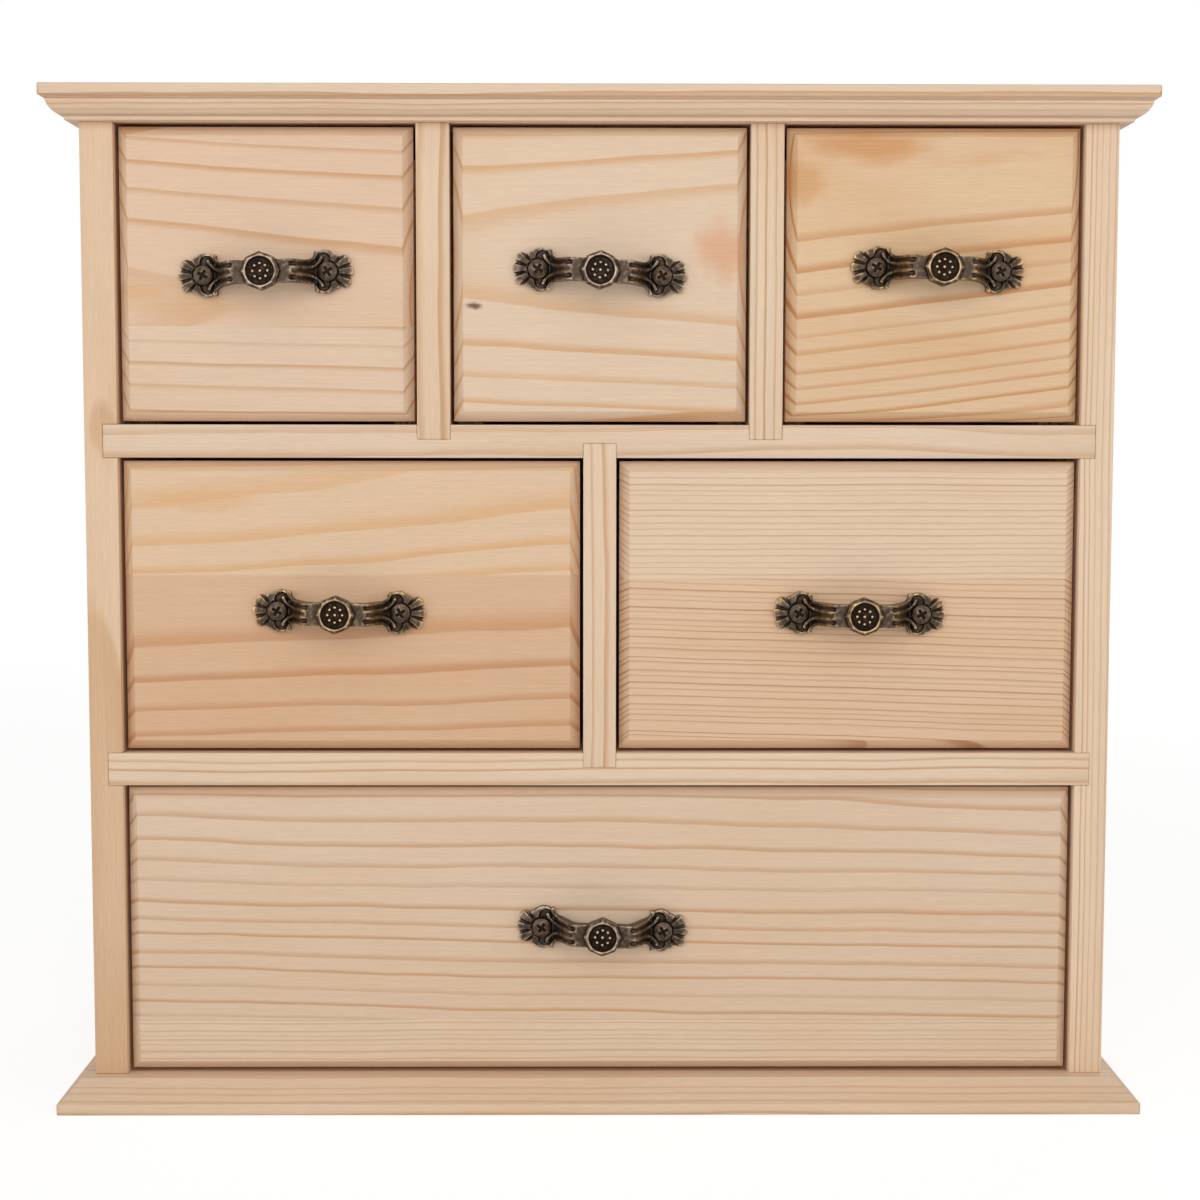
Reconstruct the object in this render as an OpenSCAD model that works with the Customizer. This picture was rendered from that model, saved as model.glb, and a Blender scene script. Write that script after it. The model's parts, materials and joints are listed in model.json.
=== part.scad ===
// Desktop chest of six drawers in bare pine, with cast bronze pulls.
// Millimetres, +Z up, the drawers face -Y. The origin is the centre of the base's underside.

/* [Carcass] */
// Width over the two side panels
body_w = 280; // [220:1:360]
// Depth of the side panels from front edge to back edge
body_d = 140; // [110:1:200]
// Thickness of the side panels, shelves and dividers
board_t = 9; // [8:0.5:12]
// Clear height of every row of drawers
bay_h = 81; // [70:1:110]
// Depth of the housings that hold the ends of shelves and dividers
housing = 4; // [3:0.5:4]
// Thickness of the back panel
back_t = 3; // [2:0.5:5]
// How far the back panel is let into each side panel
back_let = 4.5; // [3:0.5:6]

/* [Cap and base] */
// Thickness of the cap board
cap_t = 9; // [8:0.5:14]
// Thickness of the base board
base_t = 9; // [8:0.5:14]
// How far cap and base stand out at the front and sides
overhang = 9; // [8:0.5:14]
// Height of the square lip on cap and base
lip_h = 3.2; // [2.5:0.1:4]
// Radius of the rounding on the lip's edges
lip_r = 0.7; // [0.3:0.1:1.2]
// Radius of the rounding on the lip's two front corners
corner_r = 1.4; // [0.8:0.1:3]
// Angle at which those roundings meet the flats
round_break = 20; // [12:1:30]
// Step from the lip in to the quarter round under it
quirk_in = 1.7; // [1:0.1:2.5]
// Height of the groove between lip and quarter round
quirk_h = 0.6; // [0.3:0.1:1]
// How much further in that groove goes than the quarter round
quirk_set = 0.4; // [0.2:0.1:0.8]
// How far the fillet at the foot of the cap moulding stands out
fillet_out = 3.2; // [2:0.1:4]
// Height of that fillet
fillet_h = 1; // [0.5:0.1:1.5]
// Step from the fillet out to the quarter round
fillet_step = 0.4; // [0.2:0.1:0.8]
// Rise of the quarter round above its chord
round_rise = 0.85; // [0.4:0.05:1.2]
// Width of the flat that is left on the base around the carcass
base_flat = 3; // [1:0.5:5]

/* [Drawers] */
// Thickness of the drawer fronts
front_t = 9; // [8:0.5:14]
// Gap between a drawer front and its opening
front_gap = 0.9; // [0.5:0.1:1.5]
// Width of the bevel round a drawer front
bevel_w = 2.7; // [1.5:0.1:5]
// Depth of that bevel
bevel_d = 3.3; // [1.5:0.1:4.5]
// Thickness of drawer sides and backs
side_t = 7; // [6:0.5:10]
// Depth of the rebates in the front that take the sides
lap = 4; // [3:0.5:4.5]
// How much lower the sides are than the top of the front
side_drop = 8; // [4:1:20]
// Thickness of the drawer bottoms
bottom_t = 3; // [2:0.5:5]
// Depth of the grooves that hold the bottoms
groove_d = 3; // [2:0.5:3]
// Height of those grooves above the lower edge of the sides
groove_up = 4; // [3:0.5:8]
// Space left between a closed drawer and the back panel
rear_gap = 3; // [1:0.5:8]
// Length of the relief under the front ends of drawer sides, as high as the front's gap
relief_l = 14; // [8:1:20]

/* [Pulls] */
// Distance between the two screws of a pull
screw_pitch = 33.5; // [30:0.5:40]
// How far a pull stands out from the drawer front
pull_out = 13; // [11:0.5:16]
// Thickness of the shell ends under the screws
foot_t = 2.6; // [2:0.1:3.5]
// Thickness of the arched bar
bar_t = 3.2; // [2.5:0.1:4]
// Distance along the bar in which it rises from the foot
rise_len = 6.2; // [5.5:0.1:7]
// How much nearer the middle the bar's underside drops than its outer side
arch_lead = 1.9; // [1.5:0.1:2.4]
// Height of the bar at its neck
neck_h = 6.2; // [5:0.1:7.5]
// Reach of the shell's petals from the screw
petal_reach = 6.9; // [6.4:0.1:7.5]
// Radius of a petal's tip
petal_r = 1.7; // [1.4:0.1:1.9]
// Angle between two petals
petal_angle = 31; // [28:1:34]
// Reach of the shell's upper and lower lobes from the screw
lobe_reach = 5.9; // [5.6:0.1:6.4]
// Radius of a lobe
lobe_r = 2.9; // [2.6:0.1:3.2]
// How far the lobes lean towards the neck
lobe_lean = 0.6; // [0.2:0.1:1]
// Width of the rim that is left at the outer edge of a lobe
lobe_rim = 0.75; // [0.5:0.05:1]
// Radius of the hollow in a lobe
hollow_r = 1.9; // [1.6:0.1:2.1]
// How far the hollows lean towards the neck
hollow_lean = 1.1; // [0.8:0.1:1.4]
// Depth of the hollows below the middle of the shell
lobe_dish = 1.05; // [0.9:0.05:1.4]
// How much lower the shell's rim is than its middle
rim_drop = 1.1; // [0.6:0.1:1.3]
// Radius of a flute between two petals, at the screw
flute_start_r = 0.3; // [0.2:0.05:0.5]
// Radius of a flute at the petals' tips
flute_end_r = 0.75; // [0.5:0.05:0.9]
// Depth of the screw's seat
seat_d = 0.55; // [0.3:0.05:0.8]
// Reach of the leaf tips where the neck's edges flare out
leaf_reach = 5.6; // [5.2:0.1:5.8]
// Width of the leaves, which run along the neck's edges
leaf_w = 0.85; // [0.6:0.05:1]
// Radius of the leaves' round tips
leaf_tip_r = 0.65; // [0.5:0.05:0.8]
// Radius of the hollow between leaf tip and neck
flare_r = 2; // [1.9:0.1:2.4]
// Distance from the screw at which the neck starts to flare
flare_len = 5.5; // [5.3:0.1:6]
// Width of the grooves beside the leaves
groove_w = 0.95; // [0.6:0.05:1.1]
// Length of the grooves along the neck
groove_run = 3.7; // [3.2:0.1:4.2]
// Depth of the grooves
arm_groove_d = 0.9; // [0.6:0.1:1.2]
// Width of the two ridges between the grooves and the valley
ridge_w = 0.8; // [0.6:0.05:0.9]
// Reach of the ridges up and down the shell
ridge_reach = 4.1; // [3.8:0.1:4.6]
// Depth of the valley between the ridges
valley_d = 0.6; // [0.4:0.1:0.8]
// Length of the valley along the neck
valley_run = 3; // [2:0.1:3.1]
// Radius of the eight-sided boss over its corners
boss_r = 5.2; // [4.6:0.1:5.6]
// How far the boss stands out from the bar
boss_rise = 1.8; // [1:0.1:2.5]
// Radius of the sunk disc in the boss
disc_r = 3.8; // [3.2:0.1:4]
// Depth of that disc
disc_d = 0.8; // [0.4:0.1:1.2]
// Width of the flat rim round the disc
boss_rim = 0.35; // [0.2:0.05:0.4]
// Radius of the beads on the disc
bead_r = 0.34; // [0.26:0.02:0.4]
// Radius of the ring of beads
bead_ring_r = 2; // [1.6:0.1:2.4]

/* [Fasteners] */
// Radius of the pull screws' shank
screw_r = 1.3; // [1:0.1:1.4]
// Radius of the pull screws' head
screw_head_r = 2.55; // [2.2:0.05:2.8]
// Height of the pull screws' head
screw_head_h = 1.4; // [1.2:0.1:1.8]
// Length of the pull screws under the head
screw_len = 8; // [6:0.5:9]
// Ledge round the head where the screw is sunk into the pull
seat_ledge = 0.45; // [0.3:0.05:0.6]
// Length of the screw's cross recess
recess_l = 3; // [2.4:0.1:3.4]
// Width of the screw's cross recess
recess_w = 0.85; // [0.6:0.05:1]
// Turn of the cross recess as the screws were left
recess_turn = 30; // [0:5:85]
// Clearance of a screw or nail in its hole
hole_gap = 0.1; // [0.05:0.05:0.2]
// Radius of the nails through the cap
nail_r = 0.7; // [0.5:0.1:1]
// Length of the nails through the cap
nail_len = 22; // [16:1:30]
// Radius of the screws through the base
base_screw_r = 1.4; // [1:0.1:1.6]
// Radius of their countersunk heads
base_screw_head_r = 2.8; // [2.2:0.1:3.2]
// Length of the screws through the base
base_screw_len = 22; // [16:1:30]
// Distance of nails and screws from the front and back edges
nail_inset = 28; // [20:1:40]
// Radius of the pins' shank in the back panel
pin_r = 0.6; // [0.5:0.1:0.9]
// Radius of the pins' head
pin_head_r = 1.5; // [1.2:0.1:2]
// Height of the pins' head
pin_head_h = 0.7; // [0.5:0.1:1]
// Length of those pins
pin_len = 11; // [8:1:14]

/* [Hidden] */
$fn = 48;
cut = 1;

PINE = "burlywood";
PLY = "tan";
BRONZE = "dimgray";
STEEL = "silver";

inner_w = body_w - 2 * board_t;
wall_h = 3 * bay_h + 2 * board_t;
cap_z = base_t + wall_h;
y_front = (overhang - body_d) / 2;
y_back = y_front + body_d;
shelf_d = body_d - back_t;

function row_z(row) = base_t + row * (bay_h + board_t);
function bay_w(count) = (inner_w - (count - 1) * board_t) / count;
function bay_x(i, count) = (i - (count - 1) / 2) * (bay_w(count) + board_t);
function divider_x(i, count) = (bay_x(i, count) + bay_x(i + 1, count)) / 2;

lower_shelf_z = row_z(1) - board_t;
upper_shelf_z = row_z(2) - board_t;

// Each drawer: name, row, place in its row, drawers in the row,
// shift of the hand-fitted pull across and up, and the pull's tilt in degrees
DRAWERS = [
    ["top_left", 2, 0, 3, [0.3, 0], 1.9],
    ["top_middle", 2, 1, 3, [0, 0.4], -3],
    ["top_right", 2, 2, 3, [0.9, 1.3], -1.9],
    ["middle_left", 1, 0, 2, [-3.3, -1.4], -1],
    ["middle_right", 1, 1, 2, [3.3, -1.8], -0.5],
    ["bottom", 0, 0, 1, [0.8, 0.8], -1.9],
];

function centre_x(d) = bay_x(d[2], d[3]);
function floor_z(d) = row_z(d[1]);
function drawer_w(d) = bay_w(d[3]) - 2 * front_gap;

front_h = bay_h - 2 * front_gap;
side_h = bay_h - front_gap - side_drop;
side_y = y_front + front_t - lap;
drawer_end = y_back - back_t - rear_gap;

// Heights on a pull are measured out of the drawer front
bar_n = pull_out - boss_rise;
seat_n = foot_t - seat_d;
seat_r = screw_head_r + seat_ledge;
flare_y = neck_h / 2 + flare_r;
ridge_inset = leaf_w + groove_w;
// Distances from the middle of a pull between which its bar rises from the foot
rise_out = screw_pitch / 2 - screw_head_r;
rise_in = rise_out - rise_len;
dome_r = (pow(petal_reach, 2) + pow(rim_drop, 2)) / (2 * rim_drop);
seat_fall = dome_r - sqrt(pow(dome_r, 2) - pow(seat_r, 2));
arch_count = 8;

CARCASS = [
    "cap", "base", "left_side", "right_side", "back_panel", "upper_shelf", "lower_shelf",
    "top_left_divider", "top_right_divider", "middle_divider", "cap_nails", "base_screws", "back_pins",
];
DRAWER_PIECES = ["front", "left_side", "right_side", "back", "bottom", "pull", "pull_screws"];

// Cap and base mouldings

// What a rounding takes off a square corner at the origin, with the solid towards +x and +y
module corner_waste(radius) {
    set = radius * cos(round_break);
    difference() {
        translate([-cut, -cut])
            square(set + cut);
        translate([set, set])
            circle(radius);
    }
}

// A bar of the given length and height whose outer corners are round
module lip_section(length, height) {
    difference() {
        square([length, height]);
        for (m = [0, 1])
            translate([length, m * height])
                mirror([0, m])
                    mirror([1, 0])
                        corner_waste(lip_r);
    }
}

// Cap moulding beyond the carcass: fillet, quarter round, groove and lip, x outwards and y up
module cap_section() {
    top_out = overhang - quirk_in;
    low = [fillet_out + fillet_step, fillet_h];
    high = [top_out, cap_t - lip_h - quirk_h];
    chord = high - low;
    chord_l = norm(chord);
    round_r = pow(chord_l, 2) / (8 * round_rise) + round_rise / 2;
    inward = [-chord[1], chord[0]] / chord_l;
    middle = (low + high) / 2 + inward * (round_r - round_rise);
    square([fillet_out, cap_t]);
    intersection() {
        translate(middle)
            circle(round_r, $fn = 96);
        translate([0, fillet_h])
            square([overhang, high[1] - fillet_h]);
    }
    translate([0, high[1]])
        square([top_out - quirk_set, cap_t - high[1]]);
    translate([0, cap_t - lip_h])
        lip_section(overhang, lip_h);
}

// Base edge beyond the carcass: a lip under a straight bevel
module base_section() {
    lip_section(overhang, lip_h);
    polygon([
        [0, 0],
        [overhang - lip_r, 0],
        [overhang - lip_r, lip_h],
        [base_flat, base_t],
        [0, base_t],
    ]);
}

// A board the size of the carcass with the moulding on its front and both ends.
// The two crossed profiles meet in mitres at the front corners, which are rounded.
module moulded_board(thickness) {
    board_l = body_w + 2 * overhang;
    board_d = body_d + overhang;
    difference() {
        moulded_blank(thickness, board_l, board_d)
            children();
        for (m = [0, 1])
            mirror([m, 0, 0])
                translate([-board_l / 2, y_back - board_d, -cut])
                    linear_extrude(thickness + 2 * cut)
                        corner_waste(corner_r);
    }
}

module moulded_blank(thickness, board_l, board_d) {
    intersection() {
        translate([0, y_back, 0])
            rotate([90, 0, 0])
                linear_extrude(board_d) {
                    translate([-body_w / 2, 0])
                        square([body_w, thickness]);
                    for (m = [0, 1])
                        mirror([m, 0])
                            translate([body_w / 2, 0])
                                children();
                }
        translate([-board_l / 2, y_front, 0])
            rotate([90, 0, 90])
                linear_extrude(board_l) {
                    square([body_d, thickness]);
                    mirror([1, 0])
                        children();
                }
    }
}

function nail_ys() = [y_front + nail_inset, y_back - nail_inset];
function panel_x() = (body_w - board_t) / 2;

// Places of the nails through the cap: two in each side panel, one in each divider
function cap_nail_places() = concat(
    [for (x = [-panel_x(), panel_x()]) for (y = nail_ys()) [x, y]],
    [for (i = [0, 1]) [divider_x(i, 3), y_front + shelf_d / 2]]
);

module cap_nail_rods(extra) {
    for (p = cap_nail_places())
        translate([p[0], p[1], cap_z + cap_t - nail_len])
            cylinder(h = nail_len, r = nail_r + extra);
}

module base_screw_shapes(extra) {
    head_h = base_screw_head_r - base_screw_r;
    for (x = [-panel_x(), panel_x()])
        for (y = nail_ys())
            translate([x, y, 0]) {
                cylinder(h = base_screw_len, r = base_screw_r + extra);
                cylinder(h = head_h, r1 = base_screw_head_r + extra, r2 = base_screw_r + extra);
            }
}

// Places of the back pins as x and z: three down each side panel, two along each shelf
function back_pin_places() = concat(
    [for (x = [-1, 1]) for (row = [0, 1, 2])
        [x * (inner_w + back_let) / 2, row_z(row) + bay_h / 2]],
    [for (x = [-1, 1]) for (z = [lower_shelf_z, upper_shelf_z]) [x * inner_w / 4, z + board_t / 2]]
);

module back_pin_shapes(extra) {
    for (p = back_pin_places())
        translate([p[0], y_back, p[1]])
            rotate([90, 0, 0]) {
                cylinder(h = pin_len, r = pin_r + extra);
                cylinder(h = pin_head_h, r = pin_head_r + extra);
            }
}

module cap() {
    color(PINE)
        difference() {
            translate([0, 0, cap_z])
                moulded_board(cap_t)
                    cap_section();
            cap_nail_rods(hole_gap);
        }
}

module base() {
    color(PINE)
        difference() {
            moulded_board(base_t)
                base_section();
            base_screw_shapes(hole_gap);
        }
}

// Side panels, shelves, dividers and back panel

module side_panel() {
    difference() {
        translate([-body_w / 2, y_front, base_t])
            cube([board_t, body_d, wall_h]);
        for (z = [lower_shelf_z, upper_shelf_z])
            translate([-inner_w / 2 - housing, y_front - cut, z])
                cube([housing + cut, shelf_d + cut, board_t]);
        translate([-inner_w / 2 - back_let, y_back - back_t, base_t - cut])
            cube([back_let + cut, back_t + cut, wall_h + 2 * cut]);
        cap_nail_rods(hole_gap);
        base_screw_shapes(hole_gap);
        back_pin_shapes(hole_gap);
    }
}

module left_side() {
    color(PINE)
        side_panel();
}

module right_side() {
    color(PINE)
        mirror([1, 0, 0])
            side_panel();
}

module back_panel() {
    panel_w = inner_w + 2 * back_let;
    color(PLY)
        difference() {
            translate([-panel_w / 2, y_back - back_t, base_t])
                cube([panel_w, back_t, wall_h]);
            back_pin_shapes(hole_gap);
        }
}

module shelf(z) {
    shelf_w = inner_w + 2 * housing;
    translate([-shelf_w / 2, y_front, z])
        cube([shelf_w, shelf_d, board_t]);
}

// Cuts a housing for a divider, from z upwards
module divider_housing(x, z) {
    translate([x - board_t / 2, y_front - cut, z])
        cube([board_t, shelf_d + 2 * cut, housing + cut]);
}

module upper_shelf() {
    color(PINE)
        difference() {
            shelf(upper_shelf_z);
            for (i = [0, 1])
                divider_housing(divider_x(i, 3), upper_shelf_z + board_t - housing);
            divider_housing(divider_x(0, 2), upper_shelf_z - cut);
            back_pin_shapes(hole_gap);
        }
}

module lower_shelf() {
    color(PINE)
        difference() {
            shelf(lower_shelf_z);
            divider_housing(divider_x(0, 2), lower_shelf_z + board_t - housing);
            back_pin_shapes(hole_gap);
        }
}

// A divider that stands in the shelf below and reaches up to the given height
module divider(x, floor_level, top) {
    translate([x - board_t / 2, y_front, floor_level - housing])
        cube([board_t, shelf_d, top - floor_level + housing]);
}

module top_divider(i) {
    color(PINE)
        difference() {
            divider(divider_x(i, 3), row_z(2), cap_z);
            cap_nail_rods(hole_gap);
        }
}

module middle_divider() {
    color(PINE)
        divider(divider_x(0, 2), row_z(1), upper_shelf_z + housing);
}

module cap_nails() {
    color(STEEL)
        cap_nail_rods(0);
}

module base_screws() {
    color(STEEL)
        base_screw_shapes(0);
}

module back_pins() {
    color(STEEL)
        back_pin_shapes(0);
}

// Drawer boxes

// Outline of a drawer front cut across, bevelled at both edges on the show face
module bevel_section(width) {
    half = width / 2;
    polygon([
        [-half, front_t],
        [-half, bevel_d],
        [bevel_w - half, 0],
        [half - bevel_w, 0],
        [half, bevel_d],
        [half, front_t],
    ]);
}

// Stands children on the show face of a drawer, at its pull: x right, y up, z out of the face
module at_pull(d) {
    translate([centre_x(d) + d[4][0], y_front, floor_z(d) + bay_h / 2 + d[4][1]])
        rotate([90, 0, 0])
            rotate(d[5])
                children();
}

module at_screws() {
    for (m = [0, 1])
        mirror([m, 0, 0])
            translate([screw_pitch / 2, 0, 0])
                children();
}

module drawer_front(d) {
    w = drawer_w(d);
    color(PINE)
        difference() {
            translate([centre_x(d), y_front, floor_z(d) + front_gap])
                intersection() {
                    linear_extrude(front_h)
                        bevel_section(w);
                    translate([-w / 2, 0, front_h / 2])
                        rotate([90, 0, 90])
                            linear_extrude(w)
                                rotate(90)
                                    mirror([0, 1])
                                        bevel_section(front_h);
                }
            for (x = [centre_x(d) - w / 2 - cut, centre_x(d) + w / 2 - side_t])
                translate([x, side_y, floor_z(d)])
                    cube([side_t + cut, lap + cut, bay_h]);
            translate([centre_x(d) - w / 2, y_front + front_t - groove_d, floor_z(d) + groove_up])
                cube([w, groove_d + cut, bottom_t]);
            at_pull(d)
                at_screws()
                    translate([0, 0, seat_n - screw_len - hole_gap])
                        cylinder(h = screw_len + cut, r = screw_r + hole_gap);
        }
}

module drawer_side(d, hand) {
    w = drawer_w(d);
    side_l = drawer_end - side_y;
    color(PINE)
        translate([centre_x(d), side_y, floor_z(d)])
            mirror([hand, 0, 0])
                difference() {
                    translate([-w / 2, 0, 0])
                        cube([side_t, side_l, side_h]);
                    translate([-w / 2 + side_t - groove_d, -cut, groove_up])
                        cube([groove_d + cut, side_l + 2 * cut, bottom_t]);
                    translate([-w / 2 - cut, -cut, -cut])
                        cube([side_t + 2 * cut, relief_l + cut, front_gap + cut]);
                }
}

module drawer_back(d) {
    back_w = drawer_w(d) - 2 * side_t;
    back_low = groove_up + bottom_t;
    color(PINE)
        translate([centre_x(d) - back_w / 2, drawer_end - side_t, floor_z(d) + back_low])
            cube([back_w, side_t, side_h - back_low]);
}

module drawer_bottom(d) {
    bottom_w = drawer_w(d) - 2 * (side_t - groove_d);
    bottom_y = y_front + front_t - groove_d;
    color(PLY)
        translate([centre_x(d) - bottom_w / 2, bottom_y, floor_z(d) + groove_up])
            cube([bottom_w, drawer_end - bottom_y, bottom_t]);
}

// Cast pull: x along the bar, y up, z out of the drawer front

// Outline of one shell end, with the screw at the origin and the petals towards +x
module shell_outline() {
    circle(petal_reach - petal_r);
    for (a = [-petal_angle, 0, petal_angle])
        rotate(a)
            translate([petal_reach - petal_r, 0])
                circle(petal_r);
    for (s = [-1, 1])
        translate([-lobe_lean, s * (lobe_reach - lobe_r)])
            circle(lobe_r);
}

module lobe_hollow_outline() {
    for (s = [-1, 1])
        translate([-hollow_lean, s * (lobe_reach - lobe_rim - hollow_r)])
            circle(hollow_r);
}

// One arm's outline from the neck to the shell, narrowed by the flare's two hollows
module arm_outline(height) {
    difference() {
        translate([-flare_len - groove_run, -height])
            square([flare_len + groove_run - screw_head_r, 2 * height]);
        for (m = [0, 1])
            mirror([0, m]) {
                translate([-flare_len, flare_y])
                    circle(flare_r);
                translate([-flare_len - groove_run - cut, neck_h / 2])
                    square([groove_run + cut, height]);
            }
    }
}

// A band along the neck that then runs out round the hollow of the flare, with a round tip
module arm_band(inset, width, reach, tip_r) {
    middle_r = flare_r + inset + width / 2;
    tip_y = reach - tip_r;
    tip_x = sqrt(pow(middle_r, 2) - pow(flare_y - tip_y, 2)) - flare_len;
    intersection() {
        translate([-flare_len, flare_y])
            difference() {
                circle(middle_r + width / 2);
                circle(middle_r - width / 2);
            }
        translate([-flare_len, 0])
            square([flare_len, tip_y]);
    }
    translate([-flare_len - groove_run - cut, neck_h / 2 - inset - width])
        square([groove_run + cut, width]);
    translate([tip_x, tip_y])
        circle(tip_r);
}

// The valley between the two ridges of an arm, which opens towards the screw
module valley_outline() {
    difference() {
        translate([-flare_len - valley_run, -ridge_reach])
            square([flare_len + valley_run - screw_head_r, 2 * ridge_reach]);
        for (m = [0, 1])
            mirror([0, m]) {
                translate([-flare_len, flare_y])
                    circle(flare_r + ridge_inset + ridge_w / 2);
                translate([-flare_len - valley_run - cut, neck_h / 2 - ridge_inset - ridge_w / 2])
                    square([valley_run + cut, ridge_reach]);
            }
    }
}

// What stands up to the full height of an arm: the leaves, the ridges, and the rib that joins the ridges
module arm_relief() {
    rib_y = neck_h / 2 - ridge_inset - ridge_w / 2;
    for (m = [0, 1])
        mirror([0, m]) {
            arm_band(0, leaf_w, leaf_reach, leaf_tip_r);
            arm_band(ridge_inset, ridge_w, ridge_reach, ridge_w / 2);
        }
    translate([-flare_len - groove_run - cut, -rib_y])
        square([groove_run - valley_run + cut, 2 * rib_y]);
}

// Smooth step from 1 at a to 0 at b
function ease(u, a, b) = (1 + cos(180 * min(1, max(0, (u - a) / (b - a))))) / 2;
function bar_top(u) = foot_t + (bar_n - foot_t) * ease(abs(u), rise_in, rise_out);
function bar_under(u) = (bar_n - bar_t) * ease(abs(u) + arch_lead, rise_in, rise_out);

// Places along one arm where the arch's curve is drawn, from the middle outwards
function arch_steps(shift) = [
    for (i = [0 : arch_count]) rise_in - shift + i / arch_count * (rise_out - rise_in)
];
function both_arms(half) = concat(
    [for (i = [len(half) - 1 : -1 : 0]) -half[i]],
    half
);

// Side view of the arched bar, lowered by drop
module arch_side(drop) {
    end = screw_pitch / 2;
    over = both_arms(concat(arch_steps(0), [end]));
    under = both_arms(concat(arch_steps(arch_lead), [end]));
    polygon(concat(
        [for (u = over) [u, bar_top(u) - drop]],
        [for (i = [len(under) - 1 : -1 : 0]) [under[i], bar_under(under[i])]]
    ));
}

module arch_solid(drop) {
    rotate([90, 0, 0])
        linear_extrude(4 * leaf_reach, center = true)
            arch_side(drop);
}

// Turns an arm's outline into a solid under the arch, for both arms
module arm_solid(drop) {
    intersection() {
        linear_extrude(pull_out)
            for (m = [0, 1])
                mirror([m, 0])
                    translate([screw_pitch / 2, 0])
                        children();
        arch_solid(drop);
    }
}

module bar() {
    middle_l = screw_pitch - 2 * (flare_len + groove_run);
    intersection() {
        linear_extrude(pull_out)
            square([middle_l, neck_h], center = true);
        arch_solid(0);
    }
    arm_solid(arm_groove_d)
        arm_outline(lobe_reach - lobe_rim);
    arm_solid(valley_d)
        valley_outline();
    arm_solid(0)
        arm_relief();
}

// One shell end: three petals with flutes between them, and two hollow lobes
module shell_end() {
    flute_l = petal_reach - seat_r;
    flute_tilt = atan((rim_drop - seat_fall) / flute_l);
    difference() {
        intersection() {
            linear_extrude(foot_t)
                shell_outline();
            translate([0, 0, foot_t - dome_r])
                sphere(dome_r, $fn = 96);
        }
        for (a = [-1.5 : 1 : 1.5])
            rotate(a * petal_angle)
                translate([seat_r, 0, foot_t - seat_fall])
                    rotate([0, 90 + flute_tilt, 0])
                        cylinder(h = flute_l + cut, r1 = flute_start_r, r2 = flute_end_r);
        translate([0, 0, foot_t - lobe_dish])
            linear_extrude(foot_t)
                lobe_hollow_outline();
    }
}

// Eight-sided boss with a chamfered rim and a sunk disc of beads
module boss() {
    flat = boss_r * cos(180 / 8);
    chamfer = flat - disc_r - boss_rim;
    difference() {
        intersection_for (i = [0 : 3])
            rotate(45 * i + 22.5)
                rotate([90, 0, 0])
                    linear_extrude(2 * boss_r, center = true)
                        polygon([
                            [-flat, bar_n - bar_t / 2],
                            [flat, bar_n - bar_t / 2],
                            [flat, pull_out - chamfer],
                            [flat - chamfer, pull_out],
                            [chamfer - flat, pull_out],
                            [-flat, pull_out - chamfer],
                        ]);
        translate([0, 0, pull_out - disc_d])
            cylinder(h = disc_d + cut, r = disc_r);
    }
    beads = concat([[0, 0]], [for (i = [0 : 7]) bead_ring_r * [cos(45 * i), sin(45 * i)]]);
    for (b = beads)
        translate([b[0], b[1], pull_out - disc_d])
            sphere(bead_r, $fn = 24);
}

module pull(d) {
    color(BRONZE)
        at_pull(d)
            difference() {
                union() {
                    bar();
                    boss();
                    at_screws()
                        shell_end();
                }
                at_screws() {
                    translate([0, 0, seat_n])
                        cylinder(h = foot_t, r = seat_r);
                    translate([0, 0, -cut])
                        cylinder(h = foot_t + 2 * cut, r = screw_r + hole_gap);
                }
            }
}

// Round-headed screw with a cross recess, its head seated at z = 0
module pull_screw() {
    crown_r = (pow(screw_head_r, 2) + pow(screw_head_h / 2, 2)) / screw_head_h;
    tip_h = 2 * screw_r;
    difference() {
        intersection() {
            cylinder(h = screw_head_h, r = screw_head_r);
            translate([0, 0, screw_head_h - crown_r])
                sphere(crown_r, $fn = 96);
        }
        for (a = [0, 90])
            rotate(a)
                translate([0, 0, screw_head_h])
                    cube([recess_l, recess_w, screw_head_h], center = true);
    }
    translate([0, 0, tip_h - screw_len])
        cylinder(h = screw_len - tip_h, r = screw_r);
    translate([0, 0, -screw_len])
        cylinder(h = tip_h, r1 = 0, r2 = screw_r);
}

module pull_screws(d) {
    color(BRONZE)
        at_pull(d)
            at_screws()
                translate([0, 0, seat_n])
                    rotate(recess_turn)
                        pull_screw();
}

cap();
base();
left_side();
right_side();
back_panel();
upper_shelf();
lower_shelf();
top_divider(0);  // top_left_divider
top_divider(1);  // top_right_divider
middle_divider();
cap_nails();
base_screws();
back_pins();
for (d = DRAWERS) {
    drawer_front(d);
    drawer_side(d, 0);
    drawer_side(d, 1);
    drawer_back(d);
    drawer_bottom(d);
    pull(d);
    pull_screws(d);
}
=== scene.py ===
"""Desktop chest of six drawers: bare pine boards, thin plywood and cast bronze pulls."""

import json
import math

import bpy
import numpy as np
from mathutils import Euler, Matrix, Vector


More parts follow.
